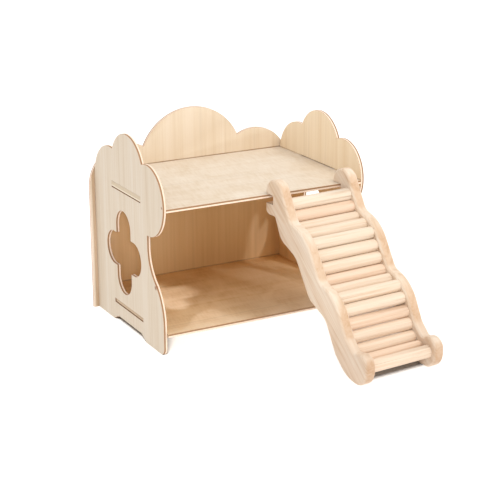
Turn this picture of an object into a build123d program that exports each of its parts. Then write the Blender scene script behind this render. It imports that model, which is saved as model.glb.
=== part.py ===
from build123d import *
from math import acos, atan2, cos, degrees, radians, sin, sqrt, tan
import os

# A two-storey hamster house of slotted plywood panels, with a wavy ladder of dowel
# rungs that hooks over the front edge of the upper deck. Millimetres.
# While it is drawn, X runs across the house from its middle, Y back from the front
# edge of the deck, and Z up from the ground. Upright outlines are drawn forward and up.

os.makedirs("parts", exist_ok=True)

# plywood and its slotted joints
ply = 3.0                      # thickness of every panel
tab_fit = 0.1                  # glued tab in its slot, each side
shelf_fit = 0.3                # shelf edge beside a side panel

# house
house_width = 200.0            # over the outer faces of the side panels
house_height = 182.4           # top of the back panel and of the side panels
room_depth = 147.0             # from the shelves' front edge to the back panel
deck_top = 132.6               # walking face of the upper deck
floor_top = 20.7               # walking face of the lower floor

# side panels: places are forward from the back panel and up from the ground
rear_lobe_radius = 36.0
rear_lobe_up = 128.0
crown_lobe_radius = 34.9
crown_lobe_forward = room_depth / 2
crown_lobe_up = house_height - crown_lobe_radius
front_lobe_radius = 31.5
front_lobe_forward = room_depth - front_lobe_radius
front_lobe_up = 133.0
waist_setback = 33.0           # narrowest place, back from the shelves' front edge
waist_forward = room_depth - waist_setback
waist_radius = 36.0
belly_setback = 2.8            # widest place of the front edge under the lobe
belly_forward = room_depth - belly_setback
belly_radius = 46.7
belly_up = 26.5
toe_radius = 6.8
arch_height = 5.3
arch_slope = 10.5              # run of each sloping end of the arch
arch_corner_radius = 5.0
rear_foot_length = 36.0
front_foot_length = 37.0

# window: two round-ended slots that cross
window_forward = 62.6
window_up = 70.9
window_lobe_radius = 15.5
window_half_width = 37.3
window_half_height = 39.2

# tabs of the shelves through the side panels
shelf_tab_length = 61.8
shelf_tab_rear = 39.6          # gap from the back panel to the tab
deck_slot_above = 0.7          # play over and under the deck's tab
deck_slot_below = 2.2
floor_slot_above = 0.5
floor_slot_below = 0.4
floor_tab_recess = 1.0         # the floor's tab ends short of the outer face

# tabs of the side panels and shelves through the back panel
back_overhang = 5.0            # back panel past each side panel
panel_tab_length = 30.0
lower_panel_tab_up = 48.0
upper_panel_tab_up = 100.0
shelf_rear_tab_width = 60.0

# back panel
crown_radius = 54.4
crown_up = house_height - crown_radius
ear_radius = 37.0
ear_up = 118.0
back_foot_length = 40.0

# ladder: rails of solid pine with glued dowels
ladder_right_gap = 12.3        # from the right rail to the side panel
ladder_yaw = 4.3               # the ladder stands a little askew
ladder_width = 82.5            # over the outer faces of the rails
rail_thickness = 10.0
rail_chamfer = 1.5             # eased edge
deck_gap = 0.3                 # hook to the deck

# rail outline: places are forward from the notch's wall
hook_reach = 12.0              # hook and jaw, back from the notch's wall
head_radius = 12.7
head_rise = 1.4                # head's centre over the deck
jaw_opening = 8.6
jaw_drop = 18.6                # jaw's underside below the deck
jaw_corner_radius = 5.0
throat_forward = 2.0
throat_radius = 3.0
wave_count = 2
wave_run = 43.9
wave_drop = 42.1
first_step_forward = 26.0
first_step_drop = 18.3         # first step below the deck
tread_run = 21.6
tread_drop = 5.4
step_inner_radius = 11.0
step_outer_radius = 38.0
shin_run = 16.3                # last riser bends towards the foot, forward of the last step
shin_up = 35.0
shin_radius = 12.0
bulge_back = 15.4              # underside's first bulge, back from the first step
bulge_drop = 18.8
hollow_run = 23.2              # from a bulge to the next hollow
hollow_drop = 10.4
underside_radius = 17.0
straight_left = 0.1            # shortest straight between two rounded corners

# rail's foot: places are from the shin and up from the ground
instep_run = 10.5              # dip between the last riser and the foot
instep_up = 25.0
instep_radius = 5.0
heel_back = 14.8               # underside turns towards the foot
heel_up = 15.8
heel_radius = 24.0
sole_run = 3.0                 # heel's slope would meet the ground
sole_radius = 29.0
foot_run = 28.9                # front of the foot
foot_radius = 14.4
toe_up = 32.3                  # foot's sloping top would meet its front
toe_tip_radius = 9.8

# rungs, as many as fit on their line with the first at the toe
rung_radius = 5.5
rung_gap = 0.35                # from one rung to the next
rung_fit = 0.05                # glued dowel in its hole, each side
rung_hole_depth = 5.0
rung_inset = 8.0               # centres below the top outline of the rail
rung_hollow_radius = 17.0
rung_hump_radius = 8.0
rung_line_top = 26.0           # line's upper end, above its first bend
toe_rung_inset = 10.0          # behind the front of the foot
toe_rung_up = 15.2

shelf_width = house_width - 2 * ply - 2 * shelf_fit
right_rail_inner = ladder_width - rail_thickness
last_step_forward = first_step_forward + (wave_count - 1) * wave_run + tread_run
shin_forward = last_step_forward + shin_run
foot_forward = shin_forward + foot_run
settling_count = 4             # rounds that find the length along a bend for one straight pitch


def upright(x, y=0.0):
    """Plane seen from the left: forward is its first axis, up its second."""
    return Plane(origin=(x, y, 0), x_dir=(0, -1, 0), z_dir=(-1, 0, 0))


def foot_arch(length):
    """Low flat arch under a panel, from its middle."""
    half = length / 2
    corners = [(-half, 0), (-half + arch_slope, arch_height),
               (half - arch_slope, arch_height), (half, 0)]
    return make_face(FilletPolyline(*corners, radius=[0, arch_corner_radius, arch_corner_radius, 0],
                                    close=True))


def shelf_slot(top, above, below):
    """Slot in a side panel for a shelf's tab, with play over and under it."""
    height = ply + above + below
    length = shelf_tab_length + 2 * tab_fit
    middle = (shelf_tab_rear + shelf_tab_length / 2, top + above - height / 2)
    return Pos(*middle) * Rectangle(length, height)


def side_outline():
    """Scalloped side panel with its window, slots and rear tabs."""
    belly_centre_forward = belly_forward - belly_radius
    centres_apart = waist_radius + belly_radius
    across = waist_forward + waist_radius - belly_centre_forward
    turn = degrees(acos(across / centres_apart))
    waist_up = belly_up + sqrt(centres_apart ** 2 - across ** 2)
    with BuildSketch() as outline:
        with BuildLine():
            Polyline((0, 0), (0, rear_lobe_up), (crown_lobe_forward, crown_lobe_up),
                     (waist_forward, front_lobe_up), (waist_forward, waist_up))
            waist = JernArc((waist_forward, waist_up), (0, -1), waist_radius, turn)
            belly = JernArc(waist @ 1, waist % 1, belly_radius, -turn)
            Line(belly @ 1, (belly_forward, toe_radius))
            toe = JernArc((belly_forward, toe_radius), (0, -1), toe_radius, -90)
            Line(toe @ 1, (0, 0))
        make_face()
        with Locations((rear_lobe_radius, rear_lobe_up)):
            Circle(rear_lobe_radius)
        with Locations((crown_lobe_forward, crown_lobe_up)):
            Circle(crown_lobe_radius)
        with Locations((front_lobe_forward, front_lobe_up)):
            Circle(front_lobe_radius)
        with Locations((window_forward, window_up)):
            SlotOverall(2 * window_half_width, 2 * window_lobe_radius, mode=Mode.SUBTRACT)
            SlotOverall(2 * window_half_height, 2 * window_lobe_radius, rotation=90,
                        mode=Mode.SUBTRACT)
        with Locations((-ply / 2, lower_panel_tab_up), (-ply / 2, upper_panel_tab_up)):
            Rectangle(ply, panel_tab_length)
    arch_length = belly_forward - rear_foot_length - front_foot_length
    arch = Pos(rear_foot_length + arch_length / 2, 0) * foot_arch(arch_length)
    deck_slot = shelf_slot(deck_top, deck_slot_above, deck_slot_below)
    floor_slot = shelf_slot(floor_top, floor_slot_above, floor_slot_below)
    return outline.sketch - arch - deck_slot - floor_slot


def side_panel(inner_or_outer_x):
    """Side panel from its left-hand face, given in X."""
    return extrude(upright(inner_or_outer_x, room_depth) * side_outline(), ply, dir=(1, 0, 0))


def back_panel():
    """Back with a large scallop between two small ones, and slots for every rear tab."""
    width = house_width + 2 * back_overhang
    ear_across = width / 2 - ear_radius
    side_tab_across = (house_width - ply) / 2
    tab_slot = ply + 2 * tab_fit
    with BuildSketch() as outline:
        Rectangle(width, ear_up, align=(Align.CENTER, Align.MIN))
        with Locations((0, crown_up)):
            Circle(crown_radius)
        with Locations((-ear_across, ear_up), (ear_across, ear_up)):
            Circle(ear_radius)
        for across in (-side_tab_across, side_tab_across):
            with Locations((across, lower_panel_tab_up), (across, upper_panel_tab_up)):
                Rectangle(tab_slot, panel_tab_length + 2 * tab_fit, mode=Mode.SUBTRACT)
        with Locations((0, deck_top - ply / 2), (0, floor_top - ply / 2)):
            Rectangle(shelf_rear_tab_width + 2 * tab_fit, tab_slot, mode=Mode.SUBTRACT)
    face = outline.sketch - foot_arch(width - 2 * back_foot_length)
    front = Plane(origin=(0, room_depth, 0), x_dir=(1, 0, 0), z_dir=(0, -1, 0))
    return extrude(front * face, ply, dir=(0, 1, 0))


def shelf(top, tab_recess):
    """Deck or floor with a tab through each side panel and one through the back."""
    side_tab_middle = room_depth - shelf_tab_rear - shelf_tab_length / 2
    with BuildSketch() as outline:
        Rectangle(shelf_width, room_depth - tab_fit, align=(Align.CENTER, Align.MIN))
        with Locations((0, side_tab_middle)):
            Rectangle(house_width - 2 * tab_recess, shelf_tab_length)
        Rectangle(shelf_rear_tab_width, room_depth + ply, align=(Align.CENTER, Align.MIN))
    return extrude(Pos(0, 0, top) * outline.sketch, -ply)


def corner_radii(points, radii):
    """Corner radii, smaller where an edge is too short for the arcs at both of its ends."""
    count = len(points)
    turns = [(points[i] - points[i - 1]).get_angle(points[(i + 1) % count] - points[i])
             for i in range(count)]
    needs = [radius * tan(radians(turn / 2)) if radius else 0 for radius, turn in zip(radii, turns)]
    room = [1.0] * count
    for i in range(count):
        after = (i + 1) % count
        edge = (points[after] - points[i]).length - straight_left
        if needs[i] + needs[after] > edge:
            share = edge / (needs[i] + needs[after])
            room[i] = min(room[i], share)
            room[after] = min(room[after], share)
    return [radius * share for radius, share in zip(radii, room)]


def inset_corner(before, corner, after, inset):
    """Corner of a downhill outline moved squarely into the wood."""
    first = (corner - before).normalized()
    second = (after - corner).normalized()
    into = Vector(first.Y, -first.X) + Vector(second.Y, -second.X)
    return corner + into * (inset / (1 + first.dot(second)))


def neck_point(first_step):
    """Where the first riser leaves the round head, tangent to it."""
    centre = Vector(head_radius - hook_reach, deck_top + head_rise)
    sight = first_step - centre
    angle = atan2(sight.Y, sight.X) + acos(head_radius / sight.length)
    return centre + Vector(cos(angle), sin(angle)) * head_radius


def step_corners():
    """Corners of the wavy top outline, downhill from the neck to the shin."""
    wave = Vector(wave_run, -wave_drop)
    first = Vector(first_step_forward, deck_top - first_step_drop)
    corners = [neck_point(first)]
    for step in range(wave_count):
        corners.append(first + wave * step)
        corners.append(first + wave * step + Vector(tread_run, -tread_drop))
    return corners + [Vector(shin_forward, shin_up)]


def underside_corners():
    """Corners of the wavy underside, downhill to the sole."""
    wave = Vector(wave_run, -wave_drop)
    bulge = Vector(first_step_forward - bulge_back, deck_top - first_step_drop - bulge_drop)
    hollow = bulge + Vector(hollow_run, -hollow_drop)
    corners = []
    for step in range(wave_count):
        corners.append(bulge + wave * step)
        corners.append(hollow + wave * step)
    return corners + [Vector(shin_forward - heel_back, heel_up), Vector(shin_forward + sole_run, 0)]


def rail_outline():
    """One closed outline from the hook's back, down the underside and up the steps."""
    top = step_corners()
    under = underside_corners()
    jaw_up = deck_top - jaw_drop
    head = Vector(head_radius - hook_reach, deck_top + head_rise)
    points = [head, Vector(-hook_reach, head.Y), Vector(-hook_reach, jaw_up)]
    radii = [0, 0, jaw_corner_radius]
    points.append(Vector(throat_forward, jaw_up))
    radii.append(throat_radius)
    points += under
    radii += [underside_radius] * (len(under) - 2) + [heel_radius, sole_radius]
    points += [Vector(foot_forward, 0), Vector(foot_forward, toe_up),
               Vector(shin_forward + instep_run, instep_up), top[-1]]
    radii += [foot_radius, toe_tip_radius, instep_radius, shin_radius]
    for step in range(wave_count, 0, -1):
        points += [top[2 * step], top[2 * step - 1]]
        radii += [step_outer_radius, step_inner_radius]
    points.append(top[0])
    radii.append(0)
    body = make_face(FilletPolyline(*points, radius=corner_radii(points, radii), close=True))
    return body + Pos(head.X, head.Y) * Circle(head_radius)


def rung_line():
    """Line through the rung centres, from under the deck along the steps to the toe."""
    top = step_corners()
    bends = [inset_corner(top[i - 1], top[i], top[i + 1], rung_inset)
             for i in range(1, len(top) - 1)]
    first_riser = (top[1] - top[0]).normalized()
    last_riser = (top[-1] - top[-2]).normalized()
    start = bends[0] - first_riser * rung_line_top
    toe_bend = bends[-1] + last_riser * ((toe_rung_up - bends[-1].Y) / last_riser.Y)
    toe = Vector(foot_forward - toe_rung_inset, toe_rung_up)
    points = [start, *bends, toe_bend, toe]
    radii = [0, *[rung_hollow_radius, rung_hump_radius] * wave_count, rung_hollow_radius, 0]
    return FilletPolyline(*points, radius=corner_radii(points, radii)[1:-1])


def rung_spots():
    """Rung centres from the top down, each one pitch straight from the next."""
    line = rung_line()
    pitch = 2 * rung_radius + rung_gap
    spots = []
    place = line.length
    while place > 0:
        spots.insert(0, line.position_at(place, position_mode=PositionMode.LENGTH))
        step = pitch
        for _ in range(settling_count):
            back = line.position_at(max(place - step, 0), position_mode=PositionMode.LENGTH)
            step *= pitch / (back - spots[0]).length
        place -= step
    return spots


def dowel(spot, x, length, radius):
    """Round bar along X, from x, at a spot given forward and up."""
    return extrude(upright(x) * Pos(spot.X, spot.Y) * Circle(radius), length, dir=(1, 0, 0))


def rail(x, hole_x, spots):
    """Wavy rail with eased edges, a notch for the deck and blind rung holes."""
    blank = extrude(upright(x) * rail_outline(), rail_thickness, dir=(1, 0, 0))
    blank = chamfer(blank.faces().filter_by(Axis.X).edges(), rail_chamfer)
    notch_top = deck_top + deck_gap
    notch = Pos(x, 0, notch_top) * Box(rail_thickness, 2 * hook_reach, jaw_opening,
                                       align=(Align.MIN, Align.MIN, Align.MAX))
    holes = [dowel(spot, hole_x, rung_hole_depth, rung_radius + rung_fit) for spot in spots]
    return blank - notch - holes


def rung(spot):
    """Dowel from the bottom of one blind hole to the other."""
    start = rail_thickness - rung_hole_depth + tab_fit
    return dowel(spot, start, ladder_width - 2 * start, rung_radius)


def ladder():
    """Rails and rungs, hooked on the deck's edge with the right rail nearest it."""
    spots = rung_spots()
    pieces = {
        "ladder_left_rail": rail(0, rail_thickness - rung_hole_depth, spots),
        "ladder_right_rail": rail(right_rail_inner, right_rail_inner, spots),
    }
    for number, spot in enumerate(spots, 1):
        pieces[f"rung_{number:02d}"] = rung(spot)
    yaw = radians(ladder_yaw)
    ladder_x = house_width / 2 - ply - ladder_right_gap - ladder_width * cos(yaw)
    ladder_y = -deck_gap - ladder_width * sin(yaw)
    place = Pos(ladder_x, ladder_y, 0) * Rot(0, 0, ladder_yaw)
    return {name: place * piece for name, piece in pieces.items()}


pieces = {
    "left_side_panel": side_panel(-house_width / 2),
    "right_side_panel": side_panel(house_width / 2 - ply),
    "back_panel": back_panel(),
    "upper_deck": shelf(deck_top, 0),
    "lower_floor": shelf(floor_top, floor_tab_recess),
}
pieces.update(ladder())

# the part's origin is on the ground under the middle of its box
box = Compound(list(pieces.values())).bounding_box()
to_origin = Pos(-(box.min.X + box.max.X) / 2, -(box.min.Y + box.max.Y) / 2, -box.min.Z)
for name, piece in pieces.items():
    export_step(to_origin * piece, f"parts/{name}.step")
print("moved by", to_origin.position, "box", box.size)
for number, spot in enumerate(rung_spots(), 1):
    print("rung", number, round(spot.X, 2), round(spot.Y, 2))
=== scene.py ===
import math

import bmesh
import bpy
from mathutils import Matrix, Vector


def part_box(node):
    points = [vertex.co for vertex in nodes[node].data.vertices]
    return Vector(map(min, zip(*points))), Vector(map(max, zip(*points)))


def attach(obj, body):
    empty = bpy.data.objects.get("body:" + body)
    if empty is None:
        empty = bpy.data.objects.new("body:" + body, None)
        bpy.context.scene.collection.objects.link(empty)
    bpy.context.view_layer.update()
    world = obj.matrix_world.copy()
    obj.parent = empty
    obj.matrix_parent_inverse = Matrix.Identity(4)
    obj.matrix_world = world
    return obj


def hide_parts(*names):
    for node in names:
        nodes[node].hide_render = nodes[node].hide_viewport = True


# A wooden hamster house: laser-cut birch plywood panels slotted together, and a ladder of
# pine dowels between two sanded pine rails, hooked over the front edge of the upper deck.

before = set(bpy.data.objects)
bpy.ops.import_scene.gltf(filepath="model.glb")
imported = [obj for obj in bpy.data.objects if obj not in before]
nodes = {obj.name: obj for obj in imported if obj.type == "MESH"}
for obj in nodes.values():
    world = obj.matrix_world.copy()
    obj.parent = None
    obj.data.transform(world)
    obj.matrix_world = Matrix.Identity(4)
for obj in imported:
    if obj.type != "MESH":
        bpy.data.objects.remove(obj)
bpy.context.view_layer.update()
mm = 0.001
deckLow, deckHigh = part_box("upper_deck")
deckFront = deckLow.y
deckTop = deckHigh.z
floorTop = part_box("lower_floor")[1].z
sideInside = -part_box("left_side_panel")[1].x     # from the middle to a side panel's inner face
print("frame loaded:", len(nodes), "nodes, deck front at", round(deckFront, 5))


def linear(hexColour):
    values = [int(hexColour[i:i + 2], 16) / 255 for i in (1, 3, 5)]
    return [v / 12.92 if v <= 0.04045 else ((v + 0.055) / 1.055) ** 2.4 for v in values] + [1.0]


def addNode(tree, kind, inputs=(), **settings):
    # inputs are a list in the sockets' order, or a dict by socket name or number; each one is a
    # value, a node for its first output, or a node and one of its outputs
    node = tree.nodes.new("ShaderNode" + kind)
    for key, value in settings.items():
        setattr(node, key, value)
    sockets = inputs.items() if isinstance(inputs, dict) else enumerate(inputs)
    for socket, value in sockets:
        source, output = value if isinstance(value, tuple) and len(value) == 2 else (value, 0)
        if isinstance(source, bpy.types.Node):
            tree.links.new(source.outputs[output], node.inputs[socket])
        else:
            node.inputs[socket].default_value = value
    return node


mixFactor, mixUnder, mixOver, mixResult = 0, 6, 7, 2     # a Mix node's sockets for colours
noiseMiddle = 0.5
noiseRoughness = 0.6
shiftShares = (1.0, 1.3, 0.7)    # of a pattern's shift, along x, y and z
reliefDepth = 0.1 * mm


def newMaterial(name):
    material = bpy.data.materials.new(name)
    material.use_nodes = True
    tree = material.node_tree
    tree.nodes.clear()
    return material, tree


def setStops(ramp, points):
    # colour stops: a place from 0 to 1 and a hex colour
    elements = ramp.color_ramp.elements
    while len(elements) > 1:
        elements.remove(elements[-1])
    for number, (place, colour) in enumerate(points):
        element = elements[0] if number == 0 else elements.new(place)
        element.position = place
        element.color = linear(colour)


mergeWithin = 0.002 * mm
flatWithin = math.radians(0.4)


def selectOnly(piece):
    bpy.ops.object.select_all(action="DESELECT")
    piece.select_set(True)
    bpy.context.view_layer.objects.active = piece


def copyNode(nodeName):
    # a merged copy of a CAD node with its flat faces whole again, left_side_panel as leftSidePanel
    first, *others = nodeName.split("_")
    pieceName = first + "".join(word.title() for word in others)
    piece = bpy.data.objects.new(pieceName, nodes[nodeName].data.copy())
    bpy.context.scene.collection.objects.link(piece)
    piece.data.materials.clear()
    selectOnly(piece)
    bpy.ops.object.mode_set(mode="EDIT")
    bpy.ops.mesh.select_all(action="SELECT")
    bpy.ops.mesh.remove_doubles(threshold=mergeWithin)
    bpy.ops.mesh.dissolve_limited(angle_limit=flatWithin)
    bpy.ops.object.mode_set(mode="OBJECT")
    return piece


def smoothByAngle(piece, degrees):
    selectOnly(piece)
    bpy.ops.object.shade_smooth_by_angle(angle=math.radians(degrees))


camera = {
    "right": -576.14 * mm,
    "fromDeckFront": -1022.17 * mm,
    "up": 464.15 * mm,
    "azimuth": 28.6808,
    "elevation": 18.0322,
    "roll": -0.1047,
    "lens": 101.059,
    "sensor": 36.0,
    "clip": (0.01, 100),
}


def heading(azimuth, fall):
    # direction turned from +Y towards +X by azimuth and falling below level, both in radians
    level = math.cos(fall)
    return Vector((math.sin(azimuth) * level, math.cos(azimuth) * level, -math.sin(fall)))


azimuth = math.radians(camera["azimuth"])
roll = math.radians(camera["roll"])
look = heading(azimuth, math.radians(camera["elevation"]))
across = Vector((math.cos(azimuth), -math.sin(azimuth), 0))
upward = across.cross(look)
rolledAcross = math.cos(roll) * across + math.sin(roll) * upward
rolledUp = -math.sin(roll) * across + math.cos(roll) * upward
turn = Matrix((rolledAcross, rolledUp, -look)).transposed().to_4x4()
place = Vector((camera["right"], deckFront + camera["fromDeckFront"], camera["up"]))

cameraData = bpy.data.cameras.new("camera")
cameraData.lens = camera["lens"]
cameraData.sensor_width = camera["sensor"]
cameraData.clip_start, cameraData.clip_end = camera["clip"]
cameraObject = bpy.data.objects.new("camera", cameraData)
cameraObject.matrix_world = Matrix.Translation(place) @ turn
bpy.context.scene.collection.objects.link(cameraObject)
bpy.context.scene.camera = cameraObject
print("camera placed")


studio = {
    "world": 1.05,
    "worldColour": "#FFFFFF",
    "keyPower": 15.0,
    "keySize": 0.9,
    "keyPlace": (0.45, -1.1, 1.7),
    "keyTarget": (0, 0, 0.08),
    "keyColour": "#FFF6E8",
    "floorSize": 30.0,
    "floorColour": "#A4A19E",
    "floorLight": 11.8,          # lifts the floor alone to white
    "floorLightColour": "#FFFFFF",
    "floorLightSpread": 16.0,
    "floorLightFall": 42.0,      # degrees down from level, along the camera's own heading
    # focused lights through the cross windows and the open front, on the room's floor and
    # back alone: where each stands, where it looks, its power and its cone in degrees
    "windowLights": {
        "leftWindowLight": ((-0.62, 0.010, 0.72), (-0.098, 0.078, 0.070), 30.0, 9.0),
        "rightWindowLight": ((0.420, -0.550, 0.540), (0.098, 0.080, 0.070), 34.0, 4.6),
        "farWallLight": ((-0.42, -0.67, 0.34), (-0.079, 0.143, 0.056), 26.0, 5.0),
    },
    "windowLightColour": "#D2E0FF",
    "windowLightSize": 0.05,
    "windowLightBlend": 0.5,
    "windowLit": ("lower_floor", "back_panel"),  # what the window lights fall on
    # what shades the floor's own light
    "floorShaders": ("left_side_panel", "rung_14", "rung_15", "rung_16"),
}

scene = bpy.context.scene
scene.view_settings.view_transform = "Standard"
scene.view_settings.look = "None"
world = bpy.data.worlds.new("studio")
world.use_nodes = True
world.node_tree.nodes.clear()
background = addNode(world.node_tree, "Background",
                     {"Color": linear(studio["worldColour"]), "Strength": studio["world"]})
addNode(world.node_tree, "OutputWorld", {"Surface": background})
scene.world = world


def addLight(name, kind, power, colour, place, ray, **settings):
    data = bpy.data.lights.new(name, kind)
    data.energy = power
    data.color = linear(colour)[:3]
    for key, value in settings.items():
        setattr(data, key, value)
    light = bpy.data.objects.new(name, data)
    light.location = place
    light.rotation_euler = ray.to_track_quat("-Z", "Y").to_euler()
    scene.collection.objects.link(light)
    return light


keyPlace = Vector(studio["keyPlace"])
addLight("keyLight", "AREA", studio["keyPower"], studio["keyColour"], keyPlace,
         Vector(studio["keyTarget"]) - keyPlace, shape="DISK", size=studio["keySize"])

bpy.ops.object.select_all(action="DESELECT")
bpy.ops.mesh.primitive_plane_add(size=studio["floorSize"], location=(0, 0, 0))
floor = bpy.context.active_object
floor.name = "floor"
floorMaterial, tree = newMaterial("matt_white_backdrop")
paint = addNode(tree, "BsdfDiffuse", {"Color": linear(studio["floorColour"])})
addNode(tree, "OutputMaterial", {"Surface": paint})
floor.data.materials.append(floorMaterial)

floorOnly = bpy.data.collections.new("floorOnly")
floorOnly.objects.link(floor)
floorShaders = bpy.data.collections.new("floorShaders")  # filled as the pieces are built
windowLit = bpy.data.collections.new("windowLit")        # and so is this one
sun = addLight("floorLight", "SUN", studio["floorLight"], studio["floorLightColour"], (0, 0, 0),
               heading(azimuth, math.radians(studio["floorLightFall"])),
               angle=math.radians(studio["floorLightSpread"]))
sun.light_linking.receiver_collection = floorOnly
sun.light_linking.blocker_collection = floorShaders

for name, (start, target, power, cone) in studio["windowLights"].items():
    spotLight = addLight(name, "SPOT", power, studio["windowLightColour"], start,
                         Vector(target) - Vector(start), spot_size=math.radians(cone),
                         spot_blend=studio["windowLightBlend"],
                         shadow_soft_size=studio["windowLightSize"])
    spotLight.light_linking.receiver_collection = windowLit


def joinLightSets(piece, nodeName):
    # a piece can shade the floor's light and be lit by the window lights
    if nodeName in studio["floorShaders"]:
        floorShaders.objects.link(piece)
    if nodeName in studio["windowLit"]:
        windowLit.objects.link(piece)


print("studio ready")


def woodNoise(tree, source, marks, apart=0.0):
    # marks are a noise's widths in mm along x, y and z, its shift, detail and distortion
    widths, shift, detail, distortion = marks
    space = addNode(tree, "Mapping", {
        "Vector": source, "Location": [(apart + shift) * share for share in shiftShares],
        "Scale": [1 / (width * mm) for width in widths]})
    return addNode(tree, "TexNoise", {"Vector": space, "Scale": 1.0, "Detail": detail,
                                      "Roughness": noiseRoughness, "Distortion": distortion})


def grainNoise(tree, source, grain, marks, apart):
    # the same with a width across the grain and a length along it
    width, length, *others = marks
    widths = [length if axis == grain else width for axis in "XYZ"]
    return woodNoise(tree, source, (widths, *others), apart)


def addSwing(tree, shade, noise, strength):
    # the shade plus the noise's swing about its middle
    swing = addNode(tree, "Math", [noise, noiseMiddle], operation="SUBTRACT")
    return addNode(tree, "Math", [swing, strength, shade], operation="MULTIPLY_ADD")


def maskedBy(tree, amount, *masks):
    # the amount held back by each mask in turn
    for mask in masks:
        amount = addNode(tree, "Math", [amount, mask], operation="MULTIPLY")
    return amount


def addKnots(tree, colour, place, knots, knotColour, strength, core):
    # knots are centres and radii in mm; core is the share of the radius at full strength
    for centre, radius in knots:
        away = addNode(tree, "VectorMath", [place, [value * mm for value in centre]],
                       operation="DISTANCE")
        eye = addNode(tree, "MapRange", [(away, "Value"), radius * core * mm, radius * mm,
                                         strength, 0.0], interpolation_type="SMOOTHSTEP")
        knotted = addNode(tree, "Mix", {mixFactor: eye, mixUnder: colour,
                                        mixOver: linear(knotColour)}, data_type="RGBA")
        colour = (knotted, mixResult)
    return colour


def woodSurface(tree, colour, finish, streaks=None):
    # the sheen of the wood and, where streaks are given, their slight relief
    sockets = {"Base Color": colour, "Roughness": finish["roughness"],
               "Specular IOR Level": finish["specular"]}
    if streaks is not None:
        sockets["Normal"] = addNode(tree, "Bump", {
            "Height": streaks, "Strength": finish["relief"], "Distance": reliefDepth})
    wood = addNode(tree, "BsdfPrincipled", sockets)
    addNode(tree, "OutputMaterial", {"Surface": wood})


# Laser-cut birch plywood, bare and lightly sanded: a pale, satin-matt face with fine
# straight grain, a few darker streaks and broad faint bands.
faceBirch = {
    # marks: width across the grain and length along it in mm, shift, detail and distortion
    "streaks": (1.5, 80.0, 0, 4.0, 0.3),         # drawn a little coarser than real birch grain
    "bands": (9.0, 300.0, 5, 2.0, 0.6),
    "darkStreaks": (6.0, 400.0, 9, 2.0, 0.2),
    "toneStops": (0.36, 0.5, 0.64),
    "darkStreak": "#8F7A5C",
    "darkStreakFrom": (0.60, 0.72),              # how high its noise stands where one shows
    "darkStreakDepth": 0.10,
    # ripple of rotary-cut veneer, in short dashes across the grain, and cloudy patches: widths
    # along x, y and z in mm, shift, detail and distortion
    "figureTurn": -80.0,
    "figure": ((13.0, 2.1, 50.0), 0, 1.0, 0.4),
    "clouds": ((38.0, 38.0, 38.0), 2, 2.0, 0.8),
    "roomShadeTop": "#F6DDB2",        # painted shade inside the lower room, deeper and warmer towards its floor
    "roomShadeFoot": "#EDC88C",
    "joint": "#8A6540",          # painted crease shade where two panels meet, broken here and there
    "creaseShadeWidth": 0.55,
    "creaseShadeBreakup": ((25.0, 25.0, 25.0), 3, 4.0, 0.3),
    "creaseShadeBreakupFrom": (0.3, 0.6),
    "creaseShadeDepth": (0.45, 0.95),
    "knot": "#8E5E3C",
    "knotStrength": 0.85,
    "knotCore": 0.2,
    "roughness": 0.62,
    "specular": 0.35,
    "relief": 0.12,
}

# The lower room's faces, which take the painted room shade: between the floor's face and the deck's
# underside.
room = {
    "foot": floorTop - 1.0 * mm,
    "top": deckLow.z + 1.0 * mm,
    "fade": 1.0 * mm,
    "front": deckFront,
    "back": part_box("back_panel")[0].y,
    "halfWidth": sideInside + 0.5 * mm,
    "sideFade": 0.2 * mm,
}


def birchVeneer(tree, place, settings):
    # colour of the bare face, and its fine streaks
    grain, shift = settings["grain"], settings["shift"]
    streaks = grainNoise(tree, place, grain, faceBirch["streaks"], shift)
    bands = grainNoise(tree, place, grain, faceBirch["bands"], shift)
    shade = addSwing(tree, noiseMiddle, streaks, settings["streaks"])
    shade = addSwing(tree, shade, bands, settings["bands"])
    if "figure" in settings:
        turned = addNode(tree, "Mapping", {
            "Vector": place, "Rotation": (0, 0, math.radians(faceBirch["figureTurn"]))})
        for kind in ("figure", "clouds"):
            marks = woodNoise(tree, turned, faceBirch[kind], shift)
            shade = addSwing(tree, shade, marks, settings[kind])
    tone = addNode(tree, "ValToRGB", [shade])
    setStops(tone, zip(faceBirch["toneStops"], settings["tones"]))
    dark = grainNoise(tree, place, grain, faceBirch["darkStreaks"], shift)
    darkLine = addNode(tree, "MapRange", [dark, *faceBirch["darkStreakFrom"], 0.0,
                                          faceBirch["darkStreakDepth"]])
    streaked = addNode(tree, "Mix", {mixFactor: darkLine, mixUnder: tone,
                                     mixOver: linear(faceBirch["darkStreak"])}, data_type="RGBA")
    return (streaked, mixResult), streaks


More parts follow.
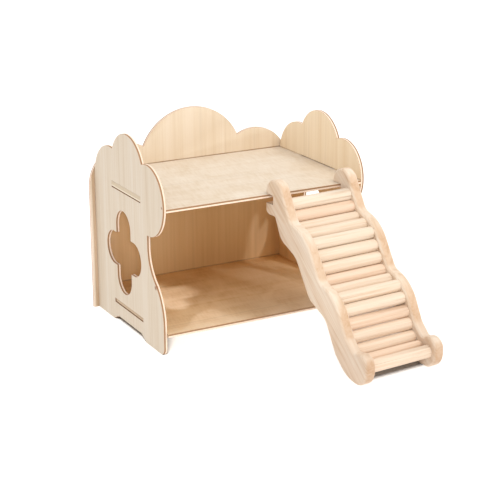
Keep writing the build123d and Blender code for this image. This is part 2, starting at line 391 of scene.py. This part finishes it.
def plywoodFace(name, settings, innerFace):
    # innerFace is where the panel's half that faces the room begins and ends, on its own axis
    material, tree = newMaterial(name)
    place = (addNode(tree, "TexCoord"), "Object")
    spot = addNode(tree, "SeparateXYZ", [place])
    colour, streaks = birchVeneer(tree, place, settings)

    # the side of the panel that looks into the house, and the part of it inside the lower room,
    # which takes the painted room shade
    facing = addNode(tree, "MapRange", [(spot, settings["axis"]), *innerFace])
    overFloor = addNode(tree, "MapRange", [(spot, "Z"), room["foot"] - room["fade"], room["foot"]])
    underDeck = addNode(tree, "MapRange", [(spot, "Z"), room["top"] + room["fade"], room["top"]])
    sideways = addNode(tree, "Math", [(spot, "X")], operation="ABSOLUTE")
    between = addNode(tree, "MapRange", [sideways, room["halfWidth"] + room["sideFade"],
                                         room["halfWidth"]])
    depth = addNode(tree, "MapRange", [(spot, "Y"), room["front"], room["back"],
                                       *settings["roomShadeShare"]])
    roomShadeAmount = maskedBy(tree, depth, facing, overFloor, underDeck, between)
    height = addNode(tree, "MapRange", [(spot, "Z"), room["foot"], room["top"]])
    # painted shade of the lower room, deeper towards the back and towards its floor, multiplied
    # into the veneer
    roomShadeTone = addNode(tree, "Mix", {mixFactor: height, mixUnder: linear(faceBirch["roomShadeFoot"]),
                                     mixOver: linear(faceBirch["roomShadeTop"])}, data_type="RGBA")
    roomShaded = addNode(tree, "Mix", {mixFactor: roomShadeAmount, mixUnder: colour,
                                  mixOver: (roomShadeTone, mixResult)},
                    data_type="RGBA", blend_type="MULTIPLY")
    colour = (roomShaded, mixResult)

    # painted shade on the strip of the back panel that stands out beyond the side panels
    if "outside" in settings:
        beyond = addNode(tree, "Math", [1.0, between], operation="SUBTRACT")
        rim = addNode(tree, "MapRange", [sideways, *settings["paleRim"]])
        beyond = maskedBy(tree, beyond, facing, rim)
        outsideShaded = addNode(tree, "Mix", {mixFactor: beyond, mixUnder: colour,
                                       mixOver: linear(settings["outside"])},
                         data_type="RGBA", blend_type="MULTIPLY")
        colour = (outsideShaded, mixResult)

    # painted crease shade: dark lines along the joints with the shelves, behind the shelves' front
    # edges
    for level, strength in settings.get("joints", ()):
        along = addNode(tree, "Math", [(spot, "Z"), level, faceBirch["creaseShadeWidth"] * mm],
                        operation="COMPARE")
        behind = addNode(tree, "MapRange", [(spot, "Y"), room["front"],
                                            room["front"] + room["fade"]])
        breakup = woodNoise(tree, place, faceBirch["creaseShadeBreakup"], settings["shift"])
        line = addNode(tree, "MapRange", [breakup, *faceBirch["creaseShadeBreakupFrom"],
                                          *(share * strength for share in faceBirch["creaseShadeDepth"])])
        line = maskedBy(tree, line, along, facing, between, behind)
        scorchedAndShaded = addNode(tree, "Mix", {mixFactor: line, mixUnder: colour,
                                         mixOver: linear(faceBirch["joint"])}, data_type="RGBA")
        colour = (scorchedAndShaded, mixResult)

    colour = addKnots(tree, colour, place, settings.get("knots", ()), faceBirch["knot"],
                      faceBirch["knotStrength"], faceBirch["knotCore"])
    woodSurface(tree, colour, faceBirch, streaks)
    return material


# Edge of laser-cut birch plywood: scorched brown plies on the side where the beam entered,
# pale pinkish plies behind them, and the face's knots where they reach it.
edgeBirch = {
    "scorchedAndShaded": "#A98769",
    "glue": "#94704F",
    "pale": "#F6E2D0",
    "core": "#EFD6BF",
    # where each ply's colour stands, as a share of the thickness from the beam's side
    "plies": ((0.0, "scorchedAndShaded"), (0.38, "glue"), (0.46, "scorchedAndShaded"),
              (0.54, "pale"), (0.78, "core"), (0.88, "pale")),
    "ripple": 0.12,              # how far the plies wander, as a share of the thickness
    "rippleWidth": 6.25,
    "rippleDetail": 3.0,
    "knot": "#8E5E3C",
    "knotStrength": 1.0,
    "knotCore": 0.4,
    "roughness": 0.7,
    "specular": 0.3,
}


def plywoodEdge(name, axis, start, end, knots=()):
    # start is the face where the beam entered, end the face where it left
    material, tree = newMaterial(name)
    place = (addNode(tree, "TexCoord"), "Object")
    spot = addNode(tree, "SeparateXYZ", [place])
    ripple = addNode(tree, "TexNoise", {"Vector": place, "Detail": edgeBirch["rippleDetail"],
                                        "Scale": 1 / (edgeBirch["rippleWidth"] * mm)})
    depth = addNode(tree, "MapRange", [(spot, axis), start, end])
    plies = addNode(tree, "ValToRGB", [addSwing(tree, depth, ripple, edgeBirch["ripple"])])
    setStops(plies, [(share, edgeBirch[ply]) for share, ply in edgeBirch["plies"]])
    colour = addKnots(tree, (plies, 0), place, knots, edgeBirch["knot"],
                      edgeBirch["knotStrength"], edgeBirch["knotCore"])
    woodSurface(tree, colour, edgeBirch)
    return material


# Cut end of a shelf's tab where it shows in the side panel's slot, sanded with the panel:
# matt and pale, with painted shade from the slot that grows darker towards its top.
def shadedTabEnd(name, settings):
    material, tree = newMaterial(name)
    spot = addNode(tree, "SeparateXYZ", [(addNode(tree, "TexCoord"), "Object")])
    level = addNode(tree, "MapRange", [(spot, "Z"), *settings["heights"]])
    shadedEnds = addNode(tree, "Mix", {mixFactor: level, mixUnder: linear(settings["low"]),
                                 mixOver: linear(settings["high"])}, data_type="RGBA")
    woodSurface(tree, (shadedEnds, mixResult), edgeBirch)
    return material


# Sanded pine rails: cut from a board, so the grain runs down the ladder's length. A smooth
# matt face with clear lines, a little browner where the steep parts show end grain, with painted
# shade towards the foot.
railPine = {
    "tones": ("#C7A887", "#D9C3AC", "#E2D3C1"),
    "toneStops": (0.34, 0.48, 0.62),
    # marks: widths in mm through the board, down the rail and across it, shift, detail and
    # distortion
    "streakMarks": ((5.1, 90.0, 1.7), 0, 3.0, 0.5),
    "streaks": 0.42,
    "waveMarks": ((27.0, 90.0, 9.0), 4, 2.0, 1.0),
    "waves": 0.38,
    "slope": 42.0,               # degrees that the rails fall towards the front
    "endTint": "#F2E6DA",
    "endSteep": (0.62, 0.86),    # how far a face looks forward before end grain shows
    "footShade": "#F2EFEE",       # painted shade, a touch darker towards the foot, from the first height down
    "footShadeHeights": (50.0, 20.0),
    "roughness": 0.55,
    "specular": 0.4,
    "relief": 0.1,
}


def pineRail(name):
    material, tree = newMaterial(name)
    coordinates = addNode(tree, "TexCoord")
    along = addNode(tree, "Mapping", {"Vector": (coordinates, "Object"),
                                      "Rotation": (math.radians(-railPine["slope"]), 0, 0)})
    streaks = woodNoise(tree, along, railPine["streakMarks"])
    waves = woodNoise(tree, along, railPine["waveMarks"])
    shade = addSwing(tree, noiseMiddle, streaks, railPine["streaks"])
    shade = addSwing(tree, shade, waves, railPine["waves"])
    tone = addNode(tree, "ValToRGB", [shade])
    setStops(tone, zip(railPine["toneStops"], railPine["tones"]))
    looks = addNode(tree, "SeparateXYZ", [(coordinates, "Normal")])
    forward = addNode(tree, "Math", [(looks, "Y"), -1.0], operation="MULTIPLY")
    endGrain = addNode(tree, "MapRange", [forward, *railPine["endSteep"]])
    ended = addNode(tree, "Mix", {mixFactor: endGrain, mixUnder: tone,
                                  mixOver: linear(railPine["endTint"])},
                    data_type="RGBA", blend_type="MULTIPLY")
    spot = addNode(tree, "SeparateXYZ", [(coordinates, "Object")])
    low = addNode(tree, "MapRange", [(spot, "Z"),
                                     *(height * mm for height in railPine["footShadeHeights"])])
    footShaded = addNode(tree, "Mix", {mixFactor: low, mixUnder: (ended, mixResult),
                                   mixOver: linear(railPine["footShade"])},
                     data_type="RGBA", blend_type="MULTIPLY")
    woodSurface(tree, (footShaded, mixResult), railPine, streaks)
    return material


# Machined pine dowels: long straight grain along each rung, in four tints from rung to rung.
dowelPine = {
    "tints": {
        "pale": ("#D6BDA3", "#E1D0BC", "#EBDDCC"),
        "light": ("#D4B99D", "#E0CCB7", "#E9D9C6"),
        "medium": ("#D2B498", "#DFC9B3", "#E8D5C1"),
        "pink": ("#D0AE90", "#DEC3AB", "#E7D0BC"),
    },
    "toneStops": (0.36, 0.5, 0.64),
    "streakMarks": ((75.0, 1.9, 1.9), 0, 4.0, 0.6),
    "streaks": 0.5,
    "yaw": 4.3,                  # degrees that the ladder hangs askew
    "knot": "#C08F62",
    "knotStrength": 0.85,
    "knotCore": 0.0,
    "roughness": 0.5,
    "specular": 0.4,
    "relief": 0.1,
}


def pineDowel(name, tint, knots=()):
    material, tree = newMaterial(name)
    place = (addNode(tree, "TexCoord"), "Object")
    along = addNode(tree, "Mapping", {"Vector": place,
                                      "Rotation": (0, 0, math.radians(-dowelPine["yaw"]))})
    streaks = woodNoise(tree, along, dowelPine["streakMarks"])
    tone = addNode(tree, "ValToRGB", [addSwing(tree, noiseMiddle, streaks, dowelPine["streaks"])])
    setStops(tone, zip(dowelPine["toneStops"], dowelPine["tints"][tint]))
    colour = addKnots(tree, (tone, 0), place, knots, dowelPine["knot"],
                      dowelPine["knotStrength"], dowelPine["knotCore"])
    woodSurface(tree, colour, dowelPine, streaks)
    return material


# Char line along each laser-cut edge: burnt brown and dull.
charBirch = {
    "colour": "#A87850",
    "width": 0.15 * mm,          # chamfer that carries the line
    "roughness": 0.8,
    "specular": 0.2,
}

charLine, tree = newMaterial("laser_char_line")
woodSurface(tree, linear(charBirch["colour"]), charBirch)
print("materials ready")


creaseShadeRise = 0.4 * mm             # a crease's painted shade line lies this far above the shelf's face

# axis runs through a panel's thickness and grain along its face; inner is the side that looks
# into the house and beam the side where the laser entered; shift sets its patterns apart;
# streaks, bands, figure and clouds are strengths; tones go from dark to light; roomShadeShare is
# how much of the lower room's painted shade it takes at the front and at the back; joints
# are heights and strengths of the painted crease shade lines; knots are centres and radii in mm
panels = {
    "left_side_panel": {
        "axis": "X", "grain": "Z", "inner": "high", "beam": "low", "shift": 0.0,
        "streaks": 0.35, "bands": 0.3, "tones": ("#C2B098", "#CFC1AE", "#D6CCBF"),
        "roomShadeShare": (0.4, 0.9),
        "knots": (((-99.8, 14.2, 58.3), 3.0), ((-99.8, 14.5, 62.5), 1.8),
                  ((-99.8, -1.3, 133.9), 1.8)),
    },
    "right_side_panel": {
        "axis": "X", "grain": "Z", "inner": "low", "beam": "high", "shift": 3.1,
        # its warmer, brighter tones are partly painted light: the warm glow bounced onto its inner
        # face from the deck and back
        "streaks": 0.2, "bands": 0.3, "tones": ("#E4CAA5", "#F0DCBE", "#F7E4C9"),
        "roomShadeShare": (0.4, 0.9), "joints": ((deckTop + creaseShadeRise, 0.5),),
    },
    "back_panel": {
        "axis": "Y", "grain": "Z", "inner": "low", "beam": "high", "shift": 5.7,
        "streaks": 0.18, "bands": 0.3, "tones": ("#D1BA9B", "#E0CEB6", "#E8D9C6"),
        "roomShadeShare": (0.9, 0.9),
        "joints": ((deckTop + creaseShadeRise, 0.8), (floorTop + creaseShadeRise, 0.7)),
        "outside": "#DACBBB",                    # painted shade beyond the side panels, up to its rim
        "paleRim": (103.5 * mm, 102.9 * mm),
    },
    "upper_deck": {
        "axis": "Z", "grain": "X", "inner": "low", "beam": "high", "shift": 8.3,
        "streaks": 0.12, "bands": 0.15, "figure": 0.2, "clouds": 0.28,
        "tones": ("#CDB99E", "#D9CAB7", "#E1D6C7"), "roomShadeShare": (0.4, 0.9),
        # painted shade at the top of its tab ends, under the slot's upper edge
        "shadedTabEnd": {"low": "#E0D3BF", "high": "#C6B69E",
                   "heights": (deckTop - 3.2 * mm, deckTop - 2.6 * mm)},
        "tabRise": 0.55 * mm,                    # its tabs fill more of their slots
        "tabDrop": 1.1 * mm,
    },
    "lower_floor": {
        "axis": "Z", "grain": "X", "inner": "high", "beam": "high", "shift": 11.9,
        "streaks": 0.15, "bands": 0.2, "figure": 0.12, "clouds": 0.4,
        "tones": ("#CFB28B", "#E4CFB0", "#EEDDC4"), "roomShadeShare": (0.2, 0.9),
        # painted shade of the recess its tab ends sit in, darker towards the top
        "shadedTabEnd": {"low": "#BBA386", "high": "#A68C6C",
                   "heights": (floorTop - 3.0 * mm, floorTop)},
    },
}

faceMaterial, edgeMaterial, charMaterial, tabMaterial = range(4)     # in the order added

panelCuts = {
    "sharp": 40.0,               # degrees between faces from which an edge was cut
    "smooth": 30.0,
    "square": 0.5,               # a face looks along an axis if more of its normal lies along it
    "shelfPlay": 0.02 * mm,      # left of the play between a shelf and its side panels
    "shelfReach": 0.5 * mm,      # a shelf's side edges lie within this of the side panels
    "shelfFace": 1.0 * mm,       # what lies within this of the deck's face belongs to it
    "tabsFrom": 95.0 * mm,       # past this the shelves are tabs inside the side panels
    "slotLow": 6.0 * mm,         # the side panels' slots, down and up from a shelf's face
    "slotHigh": 3.0 * mm,
    "slotEnds": (30.0 * mm, 136.0 * mm),
}


def widenShelf(piece, settings):
    # the shelves are drawn full width, so that no dark gap shows along the side panels
    for vertex in piece.data.vertices:
        reach = abs(vertex.co.x)
        if sideInside - panelCuts["shelfReach"] < reach < sideInside:
            vertex.co.x = math.copysign(sideInside - panelCuts["shelfPlay"], vertex.co.x)
        elif reach > sideInside and "tabRise" in settings:
            onTop = vertex.co.z > deckTop - panelCuts["shelfFace"]
            vertex.co.z += settings["tabRise"] if onTop else -settings["tabDrop"]


def onTabOrSlot(middle, axis):
    # whether an edge belongs to a shelf's tab or to a side panel's slot
    if axis == "Z":
        return abs(middle.x) >= panelCuts["tabsFrom"]
    front, back = panelCuts["slotEnds"]
    return axis == "X" and front < middle.y < back and any(
        level - panelCuts["slotLow"] < middle.z < level + panelCuts["slotHigh"]
        for level in (deckTop, floorTop))


def charEdges(piece, axis):
    # char lines on every sharp edge but those of the tabs and their slots
    mesh = bmesh.new()
    mesh.from_mesh(piece.data)
    weights = mesh.edges.layers.float.new("bevel_weight_edge")
    for edge in mesh.edges:
        middle = (edge.verts[0].co + edge.verts[1].co) / 2
        sharp = edge.is_manifold and edge.calc_face_angle() > math.radians(panelCuts["sharp"])
        edge[weights] = 1.0 if sharp and not onTabOrSlot(middle, axis) else 0.0
    mesh.to_mesh(piece.data)
    mesh.free()
    bevel = piece.modifiers.new("charLine", "BEVEL")
    bevel.width = charBirch["width"]
    bevel.segments = 1
    bevel.limit_method = "WEIGHT"
    bevel.material = charMaterial
    bpy.context.view_layer.objects.active = piece
    bpy.ops.object.modifier_apply(modifier=bevel.name)


for nodeName, settings in panels.items():
    piece = copyNode(nodeName)
    axis = "XYZ".index(settings["axis"])
    low, high = (corner[axis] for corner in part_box(nodeName))
    innerFace = (low, high) if settings["inner"] == "high" else (high, low)
    start, end = (low, high) if settings["beam"] == "low" else (high, low)
    materials = piece.data.materials
    materials.append(plywoodFace("birch_plywood_face_" + piece.name, settings, innerFace))
    materials.append(plywoodEdge("birch_plywood_edge_" + piece.name, settings["axis"],
                                 start, end, settings.get("knots", ())))
    materials.append(charLine)
    if "shadedTabEnd" in settings:
        materials.append(shadedTabEnd("plywood_tab_end_painted_shade_" + piece.name, settings["shadedTabEnd"]))
    for polygon in piece.data.polygons:
        onFace = abs(polygon.normal[axis]) > panelCuts["square"]
        polygon.material_index = faceMaterial if onFace else edgeMaterial
        sideways = abs(polygon.normal.x) > panelCuts["square"]
        if "shadedTabEnd" in settings and sideways and abs(polygon.center.x) > panelCuts["tabsFrom"]:
            polygon.material_index = tabMaterial
    if settings["axis"] == "Z":
        widenShelf(piece, settings)
    charEdges(piece, settings["axis"])
    smoothByAngle(piece, panelCuts["smooth"])
    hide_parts(nodeName)
    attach(piece, "house")
    joinLightSets(piece, nodeName)
print("panels finished")


rails = {
    "roundWidth": 0.6 * mm,      # rounds each chamfer into a full sanded edge
    "roundSegments": 2,
    "chamferAngles": (35, 60),   # degrees between a chamfer and its neighbours
    "smooth": 32.0,
}

railMaterial = pineRail("sanded_pine_rail")
least, most = (math.radians(angle) for angle in rails["chamferAngles"])
for nodeName in ("ladder_left_rail", "ladder_right_rail"):
    piece = copyNode(nodeName)
    bpy.ops.object.mode_set(mode="EDIT")
    bpy.ops.mesh.select_all(action="DESELECT")
    bpy.ops.mesh.select_mode(type="EDGE")
    mesh = bmesh.from_edit_mesh(piece.data)
    for edge in mesh.edges:
        if edge.is_manifold and least < edge.calc_face_angle() < most:
            edge.select_set(True)
    bmesh.update_edit_mesh(piece.data)
    bpy.ops.mesh.bevel(offset=rails["roundWidth"], segments=rails["roundSegments"],
                       affect="EDGES", clamp_overlap=True)
    bpy.ops.object.mode_set(mode="OBJECT")
    piece.data.materials.append(railMaterial)
    smoothByAngle(piece, rails["smooth"])
    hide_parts(nodeName)
    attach(piece, "ladder")
print("rails finished")


rungs = {
    "swell": 0.14 * mm,          # closes the play between neighbouring dowels
    "core": 1.0 * mm,            # nothing nearer the axis is moved
    "smooth": 40.0,
    "tints": ("pale", "pink", "light", "light", "pale", "light", "light", "pink",
              "light", "light", "light", "pink", "medium", "medium", "pink", "medium"),
    "knotted": {10: (((42.0, -90.0, 56.6), 3.6), ((50.0, -90.4, 57.0), 2.4))},
}

dowelMaterials = {}
for tint in dowelPine["tints"]:
    dowelMaterials[tint] = pineDowel("machined_pine_dowel_" + tint, tint)
for number, tint in enumerate(rungs["tints"], 1):
    nodeName = f"rung_{number:02d}"
    piece = copyNode(nodeName)
    low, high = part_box(nodeName)
    middle = (low + high) / 2
    for vertex in piece.data.vertices:
        outward = Vector((0, vertex.co.y - middle.y, vertex.co.z - middle.z))
        if outward.length > rungs["core"]:
            vertex.co += outward.normalized() * rungs["swell"]
    material = dowelMaterials[tint]
    if number in rungs["knotted"]:
        material = pineDowel("machined_pine_dowel_knotted", tint, rungs["knotted"][number])
    piece.data.materials.append(material)
    smoothByAngle(piece, rungs["smooth"])
    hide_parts(nodeName)
    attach(piece, "ladder")
    joinLightSets(piece, nodeName)
print("rungs finished")
